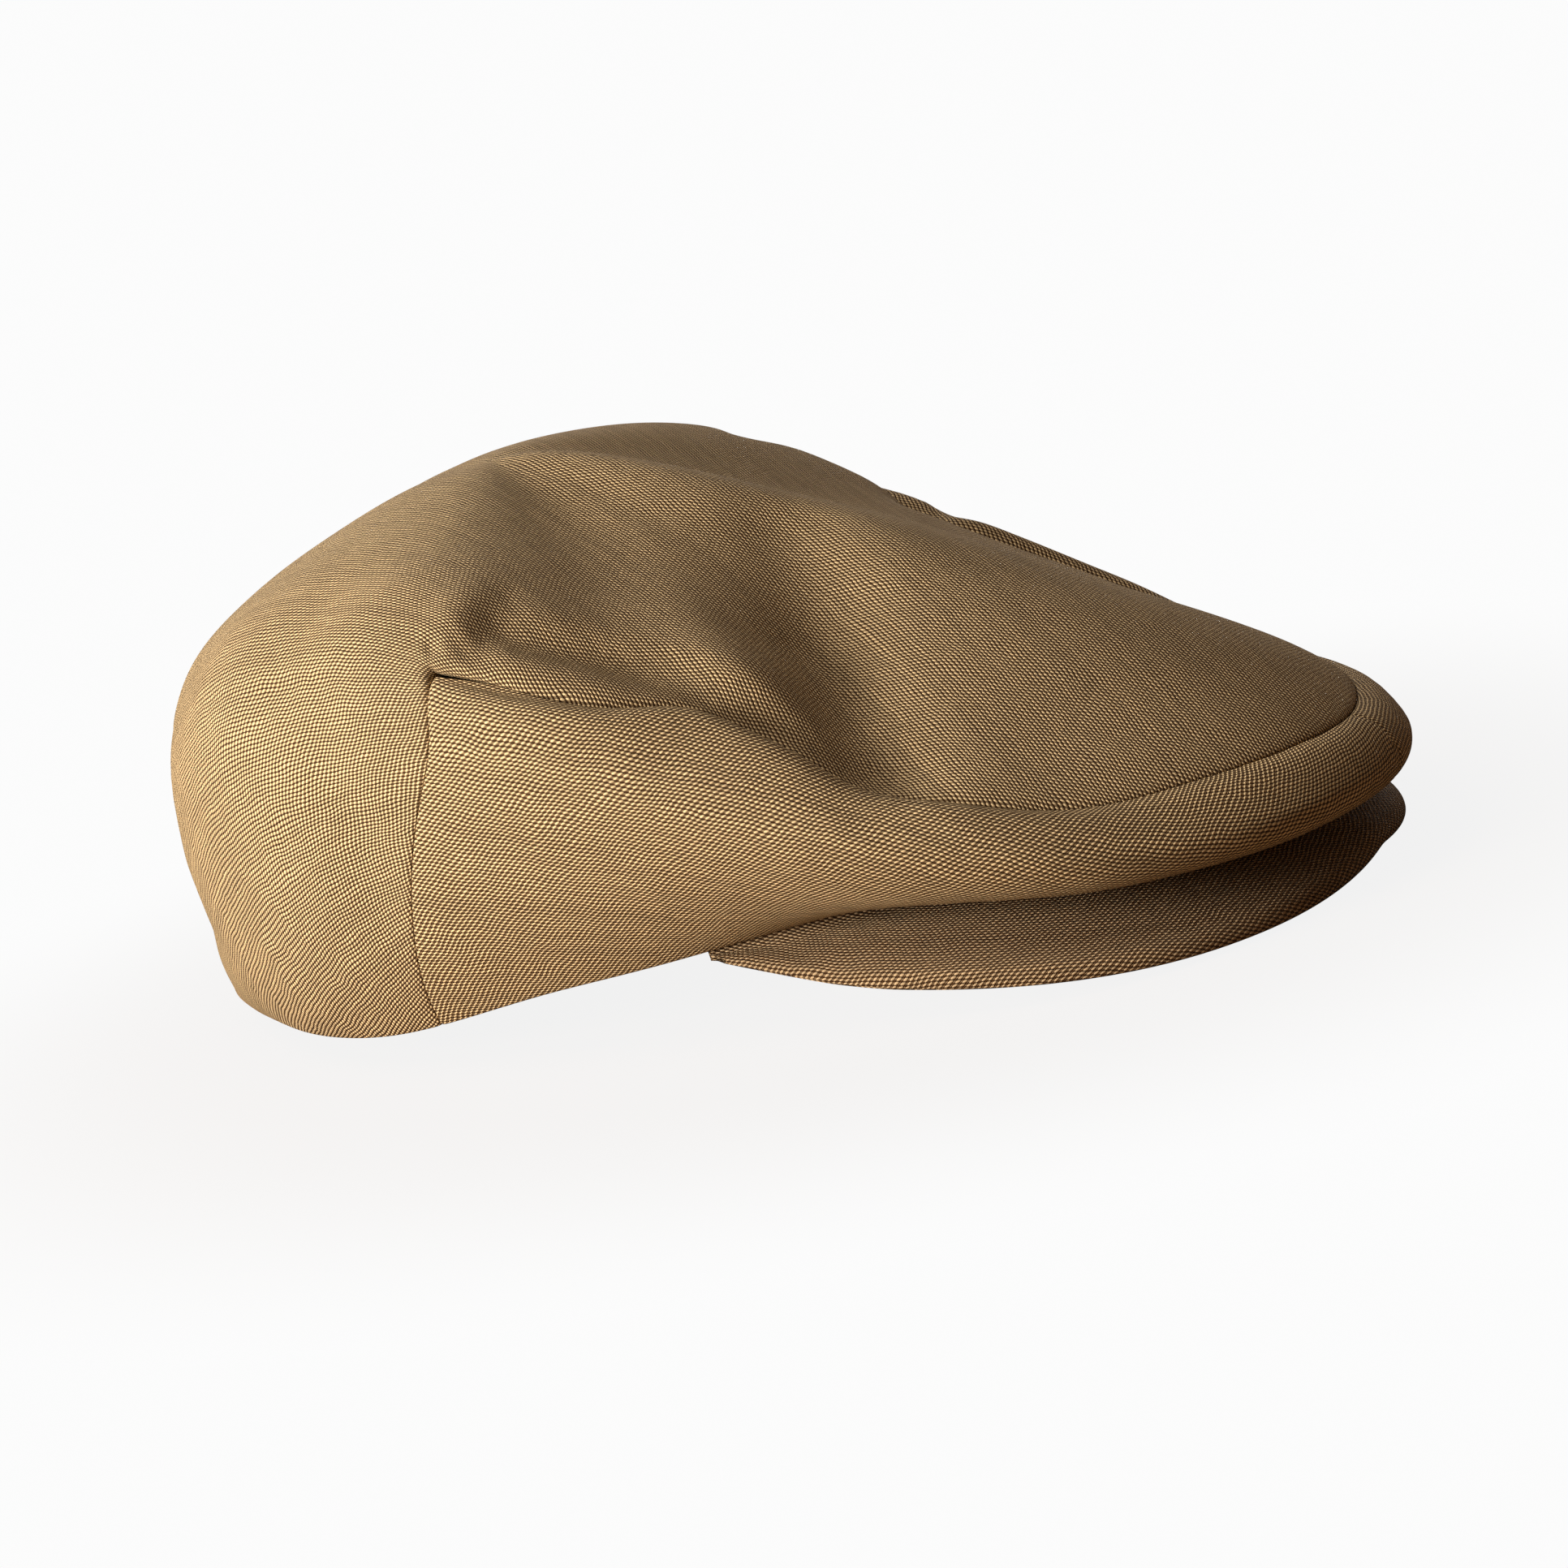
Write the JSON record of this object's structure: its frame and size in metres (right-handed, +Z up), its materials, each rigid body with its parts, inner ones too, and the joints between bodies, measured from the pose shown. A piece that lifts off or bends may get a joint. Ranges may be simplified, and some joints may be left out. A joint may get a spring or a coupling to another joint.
{
  "type": "newsboy cap",
  "caption": "Newsboy cap of coarse natural linen: a three-panel crown pulled forward over a stiffened visor, lined, with a sweatband and a snap under the nose.",
  "frame": {"origin": "bottom centre of the resting cap's bounding box", "axes": "+Z up as the cap rests, -Y towards the front (the visor), +X towards the wearer's left"},
  "size_m": [0.2086, 0.275, 0.1119],
  "materials": {
    "crown_cloth": "coarse plain-weave linen, natural tan",
    "visor_cloth": "the crown's linen, cut on another grain",
    "lining_satin": "smooth twill lining",
    "canvas_tape": "stiff cotton canvas tape",
    "sweatband_twill": "cotton twill",
    "woven_label": "plain woven label, blank",
    "visor_board": "polyethylene sheet",
    "snap_brass": "antique brass"
  },
  "bodies": {
    "crown": {"top_panel": "crown_cloth", "side_panel_right": "crown_cloth", "side_panel_left": "crown_cloth", "lining_top": "lining_satin", "lining_side_right": "lining_satin", "lining_side_left": "lining_satin", "band_tape": "canvas_tape", "sweatband": "sweatband_twill", "maker_label": "woven_label", "snap_cap": "snap_brass", "snap_socket": "snap_brass"},
    "visor": {"visor_top_cover": "visor_cloth", "visor_under_cover": "visor_cloth", "visor_board": "visor_board", "snap_stud": "snap_brass", "snap_stud_base": "snap_brass"},
    "care_label": {"care_label": "woven_label"}
  },
  "joints": [
    {"name": "visor_flex", "type": "hinge", "parent": "crown", "child": "visor", "pos_m": [0, -0.00652, 0.02005], "axis": [1, 0, 0], "range_deg": [0, 8], "stiffness_Nm_per_rad": 0.3},
    {"name": "care_label_flip", "type": "hinge", "parent": "crown", "child": "care_label", "pos_m": [0.07083, 0.07442, 0.03971], "axis": [-0.3422, 0.9357, -0.0862], "range_deg": [0, 90]}
  ]
}
